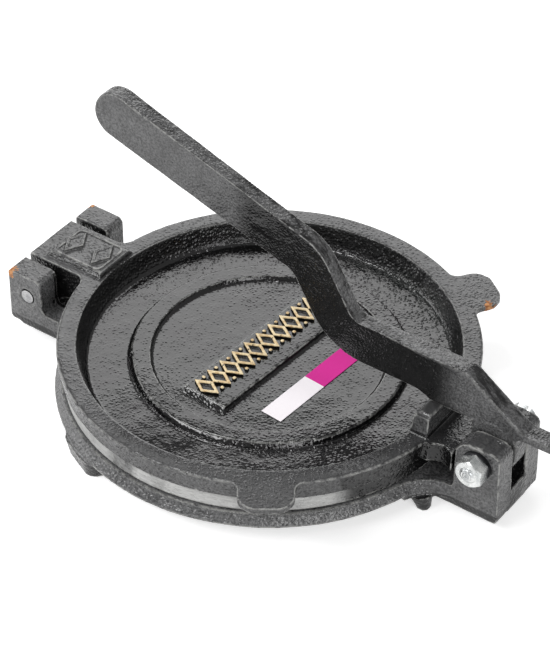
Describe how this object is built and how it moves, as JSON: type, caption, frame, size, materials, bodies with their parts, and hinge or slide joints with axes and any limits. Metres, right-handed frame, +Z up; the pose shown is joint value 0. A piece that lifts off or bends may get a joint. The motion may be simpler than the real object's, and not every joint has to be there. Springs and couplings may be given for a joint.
{
  "type": "tortilla press",
  "caption": "Cast iron press with a hinged round top plate over a footed base plate, closed by an angled lever that pivots in a clevis.",
  "frame": {"origin": "on the table, midway between the hinge's back and the lever's tail", "axes": "+X from the hinge towards the lever's clevis, +Z up from the feet, +Y to the left of the lever, seen from the hinge"},
  "size_m": [0.2904, 0.204, 0.1395],
  "materials": {
    "base_iron": "gloss",
    "plate_iron": "gloss",
    "lever_iron": "gloss",
    "pin_steel": "satin",
    "bolt_steel": "satin",
    "washer_steel": "satin",
    "nut_steel": "satin",
    "label_paper": "satin"
  },
  "bodies": {
    "base": {"base_plate": "base_iron", "hinge_pin": "pin_steel", "pivot_bolt": "bolt_steel", "lock_washer": "washer_steel", "pivot_nut": "nut_steel"},
    "plate": {"top_plate": "plate_iron", "label": "label_paper"},
    "lever": {"lever": "lever_iron"}
  },
  "joints": [
    {"name": "lever_swing", "type": "hinge", "parent": "base", "child": "lever", "pos_m": [0.1122, 0, 0.0345], "axis": [0, 1, 0], "range_deg": [0, 85]},
    {"name": "plate_open", "type": "hinge", "parent": "base", "child": "plate", "pos_m": [-0.1338, 0, 0.0225], "axis": [0, -1, 0], "range_deg": [0, 105]}
  ],
  "couplings": [
    {"joint": "plate_open", "follows": "lever_swing", "ratio": 0.12}
  ]
}
